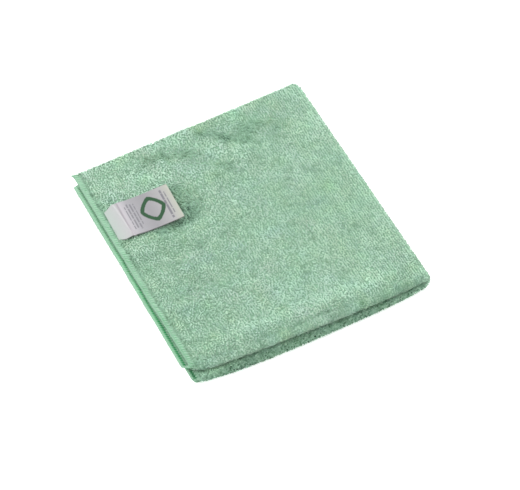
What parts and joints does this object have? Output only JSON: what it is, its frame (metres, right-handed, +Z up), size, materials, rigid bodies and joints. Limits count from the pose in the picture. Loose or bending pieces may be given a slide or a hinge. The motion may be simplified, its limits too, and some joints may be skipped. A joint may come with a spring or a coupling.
{
  "type": "microfibre cloth",
  "caption": "Square terry microfibre cleaning cloth folded into quarters, with an overlocked hem and a blank care label sewn into one side.",
  "frame": {"origin": "middle of the folded cloth's box, on the surface that it lies on", "axes": "+Z up out of the stack of layers, -Y to the first fold at the front, +X to the second fold at the right"},
  "size_m": [0.1926, 0.216, 0.0154],
  "materials": {
    "terry": "soft green looped terry pile",
    "ribbon": "off-white woven satin ribbon"
  },
  "bodies": {
    "root": {"cloth": "terry", "label": "ribbon"}
  },
  "joints": []
}
